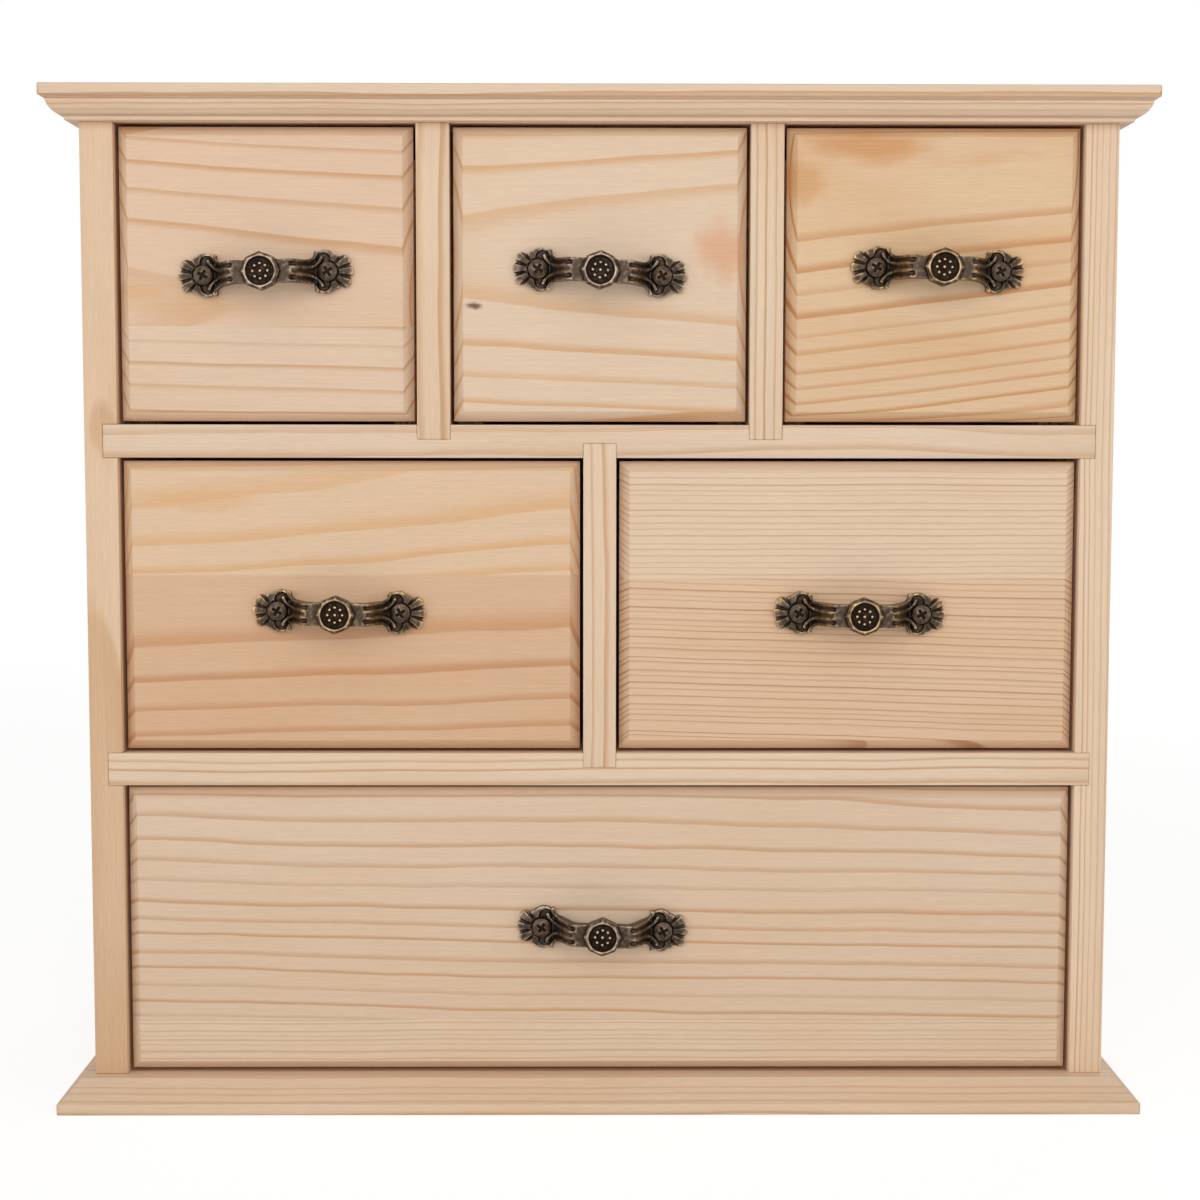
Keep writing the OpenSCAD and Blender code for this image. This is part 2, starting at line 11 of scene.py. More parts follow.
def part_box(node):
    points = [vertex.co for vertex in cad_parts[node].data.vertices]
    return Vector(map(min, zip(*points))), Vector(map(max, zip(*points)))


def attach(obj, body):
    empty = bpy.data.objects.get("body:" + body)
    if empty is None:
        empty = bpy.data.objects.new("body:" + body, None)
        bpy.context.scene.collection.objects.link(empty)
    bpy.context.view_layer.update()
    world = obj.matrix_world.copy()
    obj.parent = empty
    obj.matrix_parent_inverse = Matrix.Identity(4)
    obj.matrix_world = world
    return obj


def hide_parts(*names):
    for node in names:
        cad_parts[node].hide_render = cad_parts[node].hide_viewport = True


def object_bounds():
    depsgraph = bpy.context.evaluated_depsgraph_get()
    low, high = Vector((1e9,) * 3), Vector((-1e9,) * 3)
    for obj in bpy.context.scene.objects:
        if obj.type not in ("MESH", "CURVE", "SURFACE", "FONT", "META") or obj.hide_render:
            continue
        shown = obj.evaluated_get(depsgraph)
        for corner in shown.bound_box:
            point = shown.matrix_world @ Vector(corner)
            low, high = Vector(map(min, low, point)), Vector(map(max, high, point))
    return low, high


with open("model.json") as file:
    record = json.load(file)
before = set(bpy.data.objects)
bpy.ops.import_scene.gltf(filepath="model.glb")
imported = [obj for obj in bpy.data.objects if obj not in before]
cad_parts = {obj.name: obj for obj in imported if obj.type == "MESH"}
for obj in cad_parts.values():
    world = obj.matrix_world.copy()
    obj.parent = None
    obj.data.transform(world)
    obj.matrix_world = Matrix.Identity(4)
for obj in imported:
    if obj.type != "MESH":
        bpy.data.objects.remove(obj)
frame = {"nodes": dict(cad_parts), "record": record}
cad_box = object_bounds()

MM = 0.001
# The plane of the carcass's front edges, and the space between side panels, base and cap
FACE_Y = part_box("left_side")[0].y
INSIDE_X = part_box("right_side")[0].x
INSIDE_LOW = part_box("left_side")[0].z
INSIDE_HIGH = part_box("left_side")[1].z

BODY_OF = {node: body
           for body, nodes in frame["record"]["behaviour"]["bodies"].items()
           for node in nodes}


def linear(colour):
    """sRGB hex to a linear colour with alpha."""
    channels = [int(colour[i:i + 2], 16) / 255 for i in (1, 3, 5)]
    return [c / 12.92 if c <= 0.04045 else ((c + 0.055) / 1.055) ** 2.4 for c in channels] + [1]


def put(tree, kind, inputs=None, out=0, **settings):
    """Adds a node, sets it, fills its inputs with values or links, and returns one of its outputs.
    Inputs go by name or number. A MapRange reads 0, takes 1 and 2 as its range and gives 3 to 4.
    The share of a Mix is 0. It mixes the numbers 2 and 3, or the colours 6 and 7 to output 2."""
    made = tree.nodes.new("ShaderNode" + kind)
    for name, value in settings.items():
        setattr(made, name, value)
    for socket, value in (inputs or {}).items():
        if isinstance(value, bpy.types.NodeSocket):
            tree.links.new(value, made.inputs[socket])
        else:
            made.inputs[socket].default_value = value
    return made.outputs[out] if made.outputs else None


def clouds(tree, at, size, detail, out=0):
    """Noise whose clouds have this size along each axis."""
    stretched = put(tree, "VectorMath", {0: at, 1: [1 / s for s in size]}, operation="MULTIPLY")
    return put(tree, "TexNoise", {"Vector": stretched, "Scale": 1, "Detail": detail}, out)


def new_material(name):
    material = bpy.data.materials.new(name)
    material.use_nodes = True
    material.node_tree.nodes.clear()
    return material, material.node_tree


# Bare pine

# Turns of a board's axes, in degrees, that bring its grain to the x axis of a trunk
ALONG = {"x": (0, 0, 0), "y": (0, 0, -90), "z": (0, 90, 0)}
# Each seed takes its noise from another place: this far on in mm, and in years
SEED_STEP = (37, 91, 53)
SEED_YEARS = 7
# A trunk wanders in long and short waves: their size along and across it in mm, and their share
WAVES = (((90, 45, 45), 1), ((26, 14, 14), 0.25))
# The width of the rings swings about once in two years
SWING_PACE = 0.45
# Where in a year the wood is darkest and where it turns pale again, and how softly it darkens
DARKEST = 0.95
TURNS_PALE = 0.955
FADE_IN = 1.6
# Strength of the faintest years, and of all lines on end grain
FAINTEST = 0.4
END_CRISP = 2
# Broad warm patches: their size along and across the grain in mm, and the noise at their edges
WARM_SIZE = (70, 18, 18)
WARM_FROM, WARM_FULL = 0.42, 0.72

# Knots and clouds: how ragged they are, and where they start to fade and end, in half widths
KNOT_GRAIN = 1.6
KNOT_RAGGED = 0.9
KNOT_FADES, KNOT_ENDS = 0.7, 1.45
# Fibres are finer than a picture shows, so they are drawn this long and wide, in mm
LONG_FIBRE = (30, 0.5, 0.5)
SHORT_FIBRE = (5, 0.25, 0.25)
PLY_FIBRE = (9, 0.4, 0.4)
# Tone of the darkest and lightest fibres, and of end grain
FIBRE_DARK, FIBRE_LIGHT = 0.94, 1.05
END_TONE = 0.92
# Roughness of the pale and the dark part of a year, and how far a dark line stands up from fibres
PALE_ROUGH, DARK_ROUGH = 0.62, 0.5
LINE_RELIEF = 0.35
FIBRE_DEPTH = 0.1 * MM
WOOD_IOR = 1.5

# Painted shade on the boards just behind their front edges, within the openings, where the gaps
# round the drawers lie in shade: where this starts, is full, fades and ends behind the front
# edges, and how far it goes past the space between side panels, base and cap
GAP_SHADE_COLOUR = "#8A4A2E"
GAP_SHADE_SHARE = 0.4
GAP_SHADE_STARTS, GAP_SHADE_FULL = FACE_Y + 1.5 * MM, FACE_Y + 4 * MM
GAP_SHADE_FADES, GAP_SHADE_ENDS = FACE_Y + 5 * MM, FACE_Y + 16 * MM
GAP_SHADE_MARGIN = 0.3 * MM


def timber(tree, at, ends, centre, pith, ring, seed, along="x", lean=(0, 0), phase=0, late=0.25,
           uneven=0.5, wander=1, early="#E5CAAF", dark="#CDA074", warm="#DDB288", warmth=0.25):
    """One strip cut from a solid trunk, so that its faces, edges and end grain agree.
    Gives its colour, and how far each point is into the hard dark part of a year's ring.
    pith is where the middle of the trunk passes, in mm from the board's centre, and lean how far
    it drifts to two sides for each mm along the grain. ring is a year's width in mm, phase moves
    all rings by a part of a year, late is the dark part of a year, uneven is how much the years
    differ and wander how far the trunk sways in mm. ends is 1 on end grain, 0 along the grain."""
    turn = Euler([math.radians(a) for a in ALONG[along]])
    shift = turn.to_matrix() @ (centre / MM + Vector(pith))
    trunk = put(tree, "Mapping", {
        "Vector": at, "Location": -shift, "Rotation": turn, "Scale": [1 / MM] * 3})
    own = put(tree, "VectorMath", {0: trunk, 1: [seed * s for s in SEED_STEP]}, operation="ADD")
    length = put(tree, "SeparateXYZ", {0: trunk}, out="X")

    # The trunk leans and wanders
    leaning = put(tree, "VectorMath", {0: length, 1: (0, -lean[0], -lean[1]), 2: trunk},
                  operation="MULTIPLY_ADD")
    for size, share in WAVES:
        waves = clouds(tree, own, size, 1, "Color")
        sway = put(tree, "VectorMath", {0: waves, 1: (0.5, 0.5, 0.5)}, operation="SUBTRACT")
        reach = 2 * wander * share
        leaning = put(tree, "VectorMath", {0: sway, 1: (0, reach, reach), 2: leaning},
                      operation="MULTIPLY_ADD")
    across = put(tree, "VectorMath", {0: leaning, 1: (0, 1, 1)}, operation="MULTIPLY")
    radius = put(tree, "VectorMath", {0: across}, out="Value", operation="LENGTH")

    # Rings of uneven width: each year fades from pale to dark and ends in a sharp line
    even = put(tree, "Math", {0: radius, 1: 1 / ring, 2: phase}, operation="MULTIPLY_ADD")
    pace = put(tree, "Math", {0: even, 1: SWING_PACE, 2: seed * SEED_YEARS},
               operation="MULTIPLY_ADD")
    drift = put(tree, "TexNoise", {"W": pace, "Scale": 1, "Detail": 1}, noise_dimensions="1D")
    off = put(tree, "Math", {0: drift, 1: 0.5}, operation="SUBTRACT")
    years = put(tree, "Math", {0: off, 1: 2 * uneven, 2: even}, operation="MULTIPLY_ADD")
    year = put(tree, "Math", {0: years}, operation="FRACT")
    fade = put(tree, "MapRange", {0: year, 1: DARKEST - FADE_IN * late, 2: DARKEST},
               interpolation_type="SMOOTHERSTEP")
    end = put(tree, "MapRange", {0: year, 1: TURNS_PALE, 2: 1, 3: 1, 4: 0},
              interpolation_type="SMOOTHSTEP")
    line = put(tree, "Math", {0: fade, 1: end}, operation="MULTIPLY")

    # Some years are fainter, and all are crisper on end grain
    count = put(tree, "Math", {0: years}, operation="FLOOR")
    vigour = put(tree, "TexWhiteNoise", {"W": count}, noise_dimensions="1D")
    strength = put(tree, "MapRange", {0: vigour, 3: FAINTEST, 4: 1})
    line = put(tree, "Math", {0: line, 1: strength}, operation="MULTIPLY")
    crisp = put(tree, "MapRange", {0: ends, 3: 1, 4: END_CRISP})
    line = put(tree, "Math", {0: line, 1: crisp}, operation="MULTIPLY", use_clamp=True)

    patches = clouds(tree, own, WARM_SIZE, 2)
    patch = put(tree, "MapRange", {0: patches, 1: WARM_FROM, 2: WARM_FULL, 4: warmth},
                interpolation_type="SMOOTHSTEP")
    pale = put(tree, "Mix", {0: patch, 6: linear(early), 7: linear(warm)}, 2, data_type="RGBA")
    return put(tree, "Mix", {0: line, 6: pale, 7: linear(dark)}, 2, data_type="RGBA"), line


def pine(name, centre, seam=None, lower=None, patches=(), painted_gap_shade=False, **strip):
    """Planed pine with no finish: pale earlywood between thin orange lines, silky fibres, hardly
    any gloss. Where a board is glued up, lower is the strip under the seam, which is in mm above
    the centre. Each patch is a knot or warm cloud: its place across and up in mm, half its length
    and height, colour and strength. On boards round the openings the colour is darkened just
    behind the front edges, as painted shade in the gaps round the drawers."""
    material, tree = new_material(name)
    at = put(tree, "TexCoord", out="Object")
    along = strip.get("along", "x")
    normal = put(tree, "NewGeometry", out="True Normal")
    facing = put(tree, "SeparateXYZ", {0: normal}, out=along.upper())
    ends = put(tree, "Math", {0: facing}, operation="ABSOLUTE")
    colour, line = timber(tree, at, ends, centre, **strip)
    if lower:
        height = put(tree, "SeparateXYZ", {0: at}, out="Z")
        below = put(tree, "Math", {0: height, 1: centre.z + seam * MM}, operation="LESS_THAN")
        lower_colour, lower_line = timber(tree, at, ends, centre, **lower)
        colour = put(tree, "Mix", {0: below, 6: colour, 7: lower_colour}, 2, data_type="RGBA")
        line = put(tree, "Mix", {0: below, 2: line, 3: lower_line})

    for across, up, half_length, half_height, tint, strength in patches:
        knot = centre + Vector((across, 0, up)) * MM
        beside = put(tree, "VectorMath", {0: at, 1: knot}, operation="SUBTRACT")
        shape = (1 / (half_length * MM), 0, 1 / (half_height * MM))
        flat = put(tree, "VectorMath", {0: beside, 1: shape}, operation="MULTIPLY")
        away = put(tree, "VectorMath", {0: flat}, out="Value", operation="LENGTH")
        ragged = put(tree, "TexNoise", {"Vector": flat, "Scale": KNOT_GRAIN, "Detail": 2})
        edge = put(tree, "Math", {0: ragged, 1: KNOT_RAGGED, 2: away}, operation="MULTIPLY_ADD")
        cloud = put(tree, "MapRange", {0: edge, 1: KNOT_FADES, 2: KNOT_ENDS, 3: strength, 4: 0},
                    interpolation_type="SMOOTHSTEP")
        colour = put(tree, "Mix", {0: cloud, 6: colour, 7: linear(tint)}, 2, data_type="RGBA")

    turn = Euler([math.radians(a) for a in ALONG[along]])
    grain = put(tree, "Mapping", {"Vector": at, "Rotation": turn, "Scale": [1 / MM] * 3})
    long_fibres = clouds(tree, grain, LONG_FIBRE, 2)
    short_fibres = clouds(tree, grain, SHORT_FIBRE, 1)
    fibres = put(tree, "Math", {0: long_fibres, 1: short_fibres}, operation="ADD")
    streak = put(tree, "MapRange", {0: fibres, 1: 0.7, 2: 1.3, 3: FIBRE_DARK, 4: FIBRE_LIGHT})
    end_tone = put(tree, "MapRange", {0: ends, 3: 1, 4: END_TONE})
    tone = put(tree, "Math", {0: streak, 1: end_tone}, operation="MULTIPLY")
    colour = put(tree, "VectorMath", {0: colour, 1: tone}, operation="MULTIPLY")

    # Painted shade: the colour is darkened just behind the front edges, within the openings, where
    # the gaps round the drawers lie in shade
    if painted_gap_shade:
        spot = put(tree, "SeparateXYZ", {0: at}).node.outputs
        starts = put(tree, "MapRange", {0: spot["Y"], 1: GAP_SHADE_STARTS, 2: GAP_SHADE_FULL})
        fades = put(tree, "MapRange", {0: spot["Y"], 1: GAP_SHADE_FADES, 2: GAP_SHADE_ENDS, 3: 1, 4: 0})
        shade_mask = put(tree, "Math", {0: starts, 1: fades}, operation="MULTIPLY")
        for axis, low, high in (("X", -INSIDE_X, INSIDE_X), ("Z", INSIDE_LOW, INSIDE_HIGH)):
            reach = (high - low) / 2 + GAP_SHADE_MARGIN
            between = put(tree, "Math", {0: spot[axis], 1: (low + high) / 2, 2: reach},
                          operation="COMPARE")
            shade_mask = put(tree, "Math", {0: shade_mask, 1: between}, operation="MULTIPLY")
        share = put(tree, "Math", {0: shade_mask, 1: GAP_SHADE_SHARE}, operation="MULTIPLY")
        colour = put(tree, "Mix", {0: share, 6: colour, 7: linear(GAP_SHADE_COLOUR)}, 2, data_type="RGBA")

    gloss = put(tree, "MapRange", {0: line, 3: PALE_ROUGH, 4: DARK_ROUGH})
    relief = put(tree, "Math", {0: line, 1: LINE_RELIEF, 2: fibres}, operation="MULTIPLY_ADD")
    bump = put(tree, "Bump", {"Strength": 0.25, "Distance": FIBRE_DEPTH, "Height": relief})
    surface = put(tree, "BsdfPrincipled", {
        "Base Color": colour, "Roughness": gloss, "IOR": WOOD_IOR, "Normal": bump})
    put(tree, "OutputMaterial", {"Surface": surface})
    return material


# Grain of each board that shows from the front, set from the photograph
GRAIN = {
    "top_left_drawer_front": dict(
        pith=(0, 47.7, -8.4), lean=(0.04, 0), ring=4, phase=0.05, late=0.16, uneven=0.05,
        wander=0.7, early="#E5C5A8", dark="#D2A173", warmth=0.2, seed=1, seam=-14,
        lower=dict(pith=(0, 45, -65), lean=(0, -0.027), ring=3.7, phase=0.6, late=0.16,
                   uneven=0.1, wander=0.6, early="#E6C9AE", dark="#D2A67C", seed=19),
        patches=[(-20, -9.5, 28, 4, "#DFAF7E", 0.45), (-36, -5, 14, 3.5, "#DDA870", 0.5)]),
    "top_middle_drawer_front": dict(
        pith=(0, 50, 5.2), lean=(-0.026, 0), ring=3.8, late=0.2, uneven=0.1, wander=0.9,
        early="#E6CBAF", dark="#DAAC7E", warm="#E0BC9A", warmth=0.15, seed=2,
        patches=[(33, 6, 10, 11, "#DFA67E", 0.75), (-34, -8.5, 3, 1.3, "#6E4A30", 0.95)]),
    "top_right_drawer_front": dict(
        pith=(0, -55, 30), lean=(0, 0.12), ring=3.2, phase=0.3, uneven=0.4, wander=0.8,
        early="#E4C29C", dark="#CA8F58", warm="#D9A874", warmth=0.4, seed=3,
        patches=[(-18, 34, 25, 6.5, "#D0935A", 0.8), (-37, 25, 11, 9, "#D29A62", 0.7)]),
    "middle_left_drawer_front": dict(
        pith=(0, 75, 45), lean=(0.024, 0), ring=2.8, phase=0.31, late=0.28, uneven=0.15,
        early="#E3C3A2", dark="#DCAA74", warm="#DFB98E", seed=4, seam=8.5,
        lower=dict(pith=(0, 26, 4.5), lean=(0, 0.027), ring=5.6, phase=0.13, late=0.22,
                   uneven=0.15, wander=1.2, early="#DCB592", dark="#C99166", warm="#D8A87E",
                   warmth=0.35, seed=16),
        patches=[(-42, 29, 24, 5, "#DFAE7B", 0.55)]),
    "middle_right_drawer_front": dict(
        pith=(0, 35, -50), ring=1.57, late=0.2, uneven=0.6, wander=0.8,
        early="#E6CAAE", dark="#CDA47E", warmth=0.2, seed=5, seam=7.7,
        lower=dict(pith=(0, -45, -90), lean=(0, -0.025), ring=1.55, late=0.24, uneven=0.7,
                   wander=0.9, early="#E2C09F", dark="#BE8C65", warmth=0.3, seed=18)),
    "bottom_drawer_front": dict(
        pith=(0, 27, 55), lean=(0, -0.018), ring=4.3, phase=0.5, late=0.2, uneven=0.3,
        wander=1.9, early="#DFC4A9", dark="#C89C74", warmth=0.2, seed=6, seam=-25,
        lower=dict(pith=(0, 60, -75), ring=0.86, wander=0.5,
                   early="#E4CBB0", dark="#CFAA88", seed=17)),
    # The boards round the openings below get painted shade just behind their front edges, in the
    # gaps round the drawers
    "cap": dict(pith=(0, 10, -45), ring=2.2, painted_gap_shade=True, seed=7),
    "base": dict(pith=(0, -30, 40), ring=2.4, early="#E0C4A7", painted_gap_shade=True, seed=8),
    "left_side": dict(
        along="z", pith=(0, 60, 0), lean=(0.005, 0), ring=2.6, late=0.5, early="#E5C6A6",
        painted_gap_shade=True, seed=9),
    "right_side": dict(
        along="z", pith=(60, -40, 0), ring=1.6, early="#EACFB3", painted_gap_shade=True, seed=10),
    "upper_shelf": dict(pith=(0, 30, 35), ring=2, painted_gap_shade=True, seed=11),
    "lower_shelf": dict(pith=(0, -40, 25), ring=2.4, early="#E7CDB2", painted_gap_shade=True, seed=12),
    "top_left_divider": dict(
        along="z", pith=(40, 20, 0), ring=2.2, early="#E7CBAE", painted_gap_shade=True, seed=13),
    "top_right_divider": dict(
        along="z", pith=(-30, -50, 0), ring=2.2, early="#E8CEB2", painted_gap_shade=True, seed=14),
    "middle_divider": dict(
        along="z", pith=(50, 30, 0), ring=2, early="#E8CDB1", painted_gap_shade=True, seed=15),
}
# Seeds from here on are free for all other boards
FREE_SEED = 20


def drawer_grain(node, seed):
    """Grain of the drawer sides and backs, cut along their length from boards taken as they come:
    swing differs from one to the next, between -1 and 1."""
    swing = math.sin(12.9 * seed)
    if node.endswith("_back"):
        return dict(pith=(0, 30 + 10 * swing, 40 * swing), ring=2.2 + 0.4 * swing, seed=seed)
    return dict(along="y", pith=(35 + 10 * swing, 0, 45 * swing), ring=2.2 + 0.5 * swing, seed=seed)


# Thin plywood

# How far from the middle of the trunk a sheet was peeled, in mm
PEELED_AT = 70
# Tone of the darkest and lightest fibres
PLY_DARK, PLY_LIGHT = 0.9, 1.06
PLY_ROUGH = 0.65


def plywood(name, centre, pith, seed):
    """Bare thin plywood: its faces were peeled round the trunk, nearly along the rings, so these
    show as broad faint clouds and islands with short dark fibres, and there is no gloss."""
    material, tree = new_material(name)
    at = put(tree, "TexCoord", out="Object")
    veneer, _ = timber(tree, at, 0, centre, pith=pith, ring=1.5, late=0.4, wander=2.4,
                       early="#E4CCA8", dark="#D3B286", warm="#DABD94", warmth=0.5, seed=seed)
    fibres = clouds(tree, at, [s * MM for s in PLY_FIBRE], 2)
    streak = put(tree, "MapRange", {0: fibres, 1: 0.3, 2: 0.7, 3: PLY_DARK, 4: PLY_LIGHT})
    colour = put(tree, "VectorMath", {0: veneer, 1: streak}, operation="MULTIPLY")
    bump = put(tree, "Bump", {"Strength": 0.2, "Distance": FIBRE_DEPTH, "Height": fibres})
    surface = put(tree, "BsdfPrincipled", {
        "Base Color": colour, "Roughness": PLY_ROUGH, "IOR": WOOD_IOR, "Normal": bump})
    put(tree, "OutputMaterial", {"Surface": surface})
    return material


# Metals

# Size of the patina's clouds, of the pits in a cast skin and of the specks on wire
PATINA_SIZE = 1.2 * MM
PIT_SIZE = 0.4 * MM
SPECK_SIZE = 0.5 * MM
PIT_DEPTH = 0.08 * MM
# How much the patina adds to the wear or takes from it, the wear where the colour of the hollows
# gives way to the body's, and the wear where that gives way to the rubbed edges
PATINA_SWING = 0.3
HOLLOW_ENDS, BODY_FULL = 0.15, 0.6
BODY_ENDS, RUBBED_FULL = 0.5, 0.95
# Rubbed edges are smoother than the rest by this roughness
RUBBED_SMOOTHER = 0.14
# Roughness of wire where it is bright and where it is tarnished
BRIGHT_ROUGH, TARNISHED_ROUGH = 0.28, 0.5


def aged_bronze(name, rubbed, hollow="#1E1611", body="#4C4036", rough=0.42):
    """Antique bronze over a casting: near-black in the hollows, brown on the body, rubbed bright
    on the edges, with a patina that comes and goes and a skin pitted by the mould."""
    material, tree = new_material(name)
    at = put(tree, "TexCoord", out="Object")
    wear = put(tree, "Attribute", out="Fac", attribute_name="wear")
    patina = put(tree, "TexNoise", {"Vector": at, "Scale": 1 / PATINA_SIZE, "Detail": 3})
    skin = put(tree, "TexNoise", {"Vector": at, "Scale": 1 / PIT_SIZE, "Detail": 2})
    patchy = put(tree, "Math", {0: patina, 1: 2 * PATINA_SWING, 2: -PATINA_SWING},
                 operation="MULTIPLY_ADD")
    worn = put(tree, "Math", {0: wear, 1: patchy}, operation="ADD")
    out_of_hollow = put(tree, "MapRange", {0: worn, 1: HOLLOW_ENDS, 2: BODY_FULL},
                        interpolation_type="SMOOTHSTEP")
    on_edge = put(tree, "MapRange", {0: worn, 1: BODY_ENDS, 2: RUBBED_FULL},
                  interpolation_type="SMOOTHSTEP")
    dull = put(tree, "Mix", {0: out_of_hollow, 6: linear(hollow), 7: linear(body)}, 2,
               data_type="RGBA")
    colour = put(tree, "Mix", {0: on_edge, 6: dull, 7: linear(rubbed)}, 2, data_type="RGBA")
    gloss = put(tree, "MapRange", {0: on_edge, 3: rough, 4: rough - RUBBED_SMOOTHER})
    bump = put(tree, "Bump", {"Strength": 0.5, "Distance": PIT_DEPTH, "Height": skin})
    surface = put(tree, "BsdfPrincipled", {
        "Base Color": colour, "Metallic": 1, "Roughness": gloss, "Normal": bump})
    put(tree, "OutputMaterial", {"Surface": surface})
    return material


def wire_steel(name):
    """Bright drawn wire for nails, pins and hidden screws, dulled by fine specks of tarnish."""
    material, tree = new_material(name)
    at = put(tree, "TexCoord", out="Object")
    specks = put(tree, "TexNoise", {"Vector": at, "Scale": 1 / SPECK_SIZE, "Detail": 3})
    share = put(tree, "MapRange", {0: specks, 1: 0.4, 2: 0.7})
    bright, tarnished = linear("#B9B8B4"), linear("#8D8A83")
    colour = put(tree, "Mix", {0: share, 6: bright, 7: tarnished}, 2, data_type="RGBA")
    gloss = put(tree, "MapRange", {0: specks, 3: BRIGHT_ROUGH, 4: TARNISHED_ROUGH})
    surface = put(tree, "BsdfPrincipled", {
        "Base Color": colour, "Metallic": 1, "Roughness": gloss})
    put(tree, "OutputMaterial", {"Surface": surface})
    return material


# Pieces made over the solids

# Points nearer than this become one, and so do faces that turn by less than this
WELD = 0.001 * MM
FLAT = math.radians(1)

# Edges of the boards are sanded round by this much, of the drawer fronts and plywood by less
BOARD_EASE = 0.3 * MM
FRONT_EASE = 0.15 * MM
PLY_EASE = 0.15 * MM
EASE_STEPS = 2
# Faces that turn by more than this have an edge between them
SHARP = math.radians(30)
# Edges shorter than this belong to nail and screw holes and stay sharp
SHORTEST_EASED = 2 * MM


def select_only(piece):
    bpy.ops.object.select_all(action="DESELECT")
    piece.select_set(True)
    bpy.context.view_layer.objects.active = piece


def apply_modifier(piece, kind, **settings):
    modifier = piece.modifiers.new(kind.lower(), kind)
    for name, value in settings.items():
        setattr(modifier, name, value)
    select_only(piece)
    bpy.ops.object.modifier_apply(modifier=modifier.name)


def merged_copy(node, name):
    """A copy of a node's mesh as one closed skin, with flat faces made whole."""
    piece = bpy.data.objects.new(name, frame["nodes"][node].data.copy())
    bpy.context.scene.collection.objects.link(piece)
    piece.data.materials.clear()
    select_only(piece)
    bpy.ops.mesh.customdata_custom_splitnormals_clear()
    bpy.ops.object.mode_set(mode="EDIT")
    bpy.ops.mesh.select_all(action="SELECT")
    bpy.ops.mesh.remove_doubles(threshold=WELD)
    bpy.ops.mesh.dissolve_limited(angle_limit=FLAT)
    bpy.ops.object.mode_set(mode="OBJECT")
    return piece


def eased_board(node, ease):
    """A board with its edges sanded round."""
    board = merged_copy(node, node + "_planed")
    bpy.ops.object.mode_set(mode="EDIT")
    bpy.ops.mesh.select_mode(type="EDGE")
    bpy.ops.mesh.select_all(action="DESELECT")
    bpy.ops.mesh.edges_select_sharp(sharpness=SHARP)
    bpy.ops.object.mode_set(mode="OBJECT")
    corners = board.data.vertices
    for edge in board.data.edges:
        a, b = (corners[i].co for i in edge.vertices)
        edge.select = edge.select and (a - b).length > SHORTEST_EASED
    bpy.ops.object.mode_set(mode="EDIT")
    bpy.ops.mesh.bevel(offset=ease, segments=EASE_STEPS, affect="EDGES")
    bpy.ops.object.mode_set(mode="OBJECT")
    bpy.ops.object.shade_smooth_by_angle(angle=SHARP)
    return board


def place(piece, node, material):
    """Lets a piece stand for a node, in its material and on the node's body."""
    piece.data.materials.append(material)
    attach(piece, BODY_OF[node])
    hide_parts(node)


# Castings: the pulls and their screws

# Each pull was fitted by hand and leans a little, in degrees
LEAN = {"top_left": 1.9, "top_middle": -3, "top_right": -1.9,
        "middle_left": -1, "middle_right": -0.5, "bottom": -1.9}

# Fineness of the pulls and screws, and the passes of smoothing that soften them
PULL_VOXEL = 0.14 * MM
PULL_PASSES = 8
SCREW_VOXEL = 0.08 * MM
SCREW_PASSES = 2
# Where the grooves on a pull's arms run out, in mm from its middle, and how softly
GROOVE_END_X = (5.2, 6.8, 8.6, 11.5)
GROOVE_END_PASSES = 60

# How far around a point its wear is judged, in passes of smoothing, and the height in mm above
# the form around it that then counts as a full edge
PULL_WEAR = [(24, 0.3), (110, 2.6)]
SCREW_WEAR = [(60, 0.4)]
# Marks of wear: the patina stays dark in the sunk disc of a pull, round its screws and in their
# crosses. The beads on the disc, the tips of the petals and the ridges on the arms are bright.
SCREW_X = 16.75
ARM_X = 11
DISC = (0, (0, 3.7, 3.75), (-0.25, -0.25, 0), 11.9, 12.32)
BEADS = (0, (0, 3, 3.05), (0.5, 0.5, 0), 12.32, 12.8)
SHELLS = [(x, (2.6, 4.4, 6.4, 8, 8.1), (-0.18, -0.06, 0.1, 0.1, 0), -1, 3.2)
          for x in (-SCREW_X, SCREW_X)]
ARMS = [(x, (0, 2, 3.5), (0.09, 0.09, 0), 3.2, 14) for x in (-ARM_X, ARM_X)]
CROSSES = [(x, (0, 1.55, 1.6), (-0.3, -0.3, 0), 2.5, 3.05) for x in (-SCREW_X, SCREW_X)]


def pull_place(node):
    """The middle of a drawer's pull on the show face, turned as the pull leans."""
    drawer = node.split("_drawer")[0]
    low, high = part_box(drawer + "_drawer_pull")
    lean = Matrix.Rotation(math.radians(-LEAN[drawer]), 4, "Y")
    return Matrix.Translation(((low.x + high.x) / 2, high.y, (low.z + high.z) / 2)) @ lean


def casting(node, voxel, passes):
    """A node made over at the origin, with edges and hollows run soft as they leave a mould."""
    pattern = merged_copy(node, node + "_pattern")
    pattern.data.transform(pull_place(node).inverted())
    apply_modifier(pattern, "REMESH", mode="VOXEL", voxel_size=voxel)
    apply_modifier(pattern, "SMOOTH", factor=0.5, iterations=passes)
    select_only(pattern)
    bpy.ops.object.shade_smooth()
    return pattern


def run_out_grooves(pattern):
    """Lets the grooves on the arms of a pull run out softly towards its boss."""
    weights = pattern.vertex_groups.new(name="groove ends")
    for vertex in pattern.data.vertices:
        share = np.interp(abs(vertex.co.x) / MM, GROOVE_END_X, (0, 1, 1, 0))
        if share > 0:
            weights.add([vertex.index], share, "REPLACE")
    apply_modifier(pattern, "SMOOTH", factor=0.5, iterations=GROOVE_END_PASSES,
                   vertex_group=weights.name)
    pattern.vertex_groups.clear()


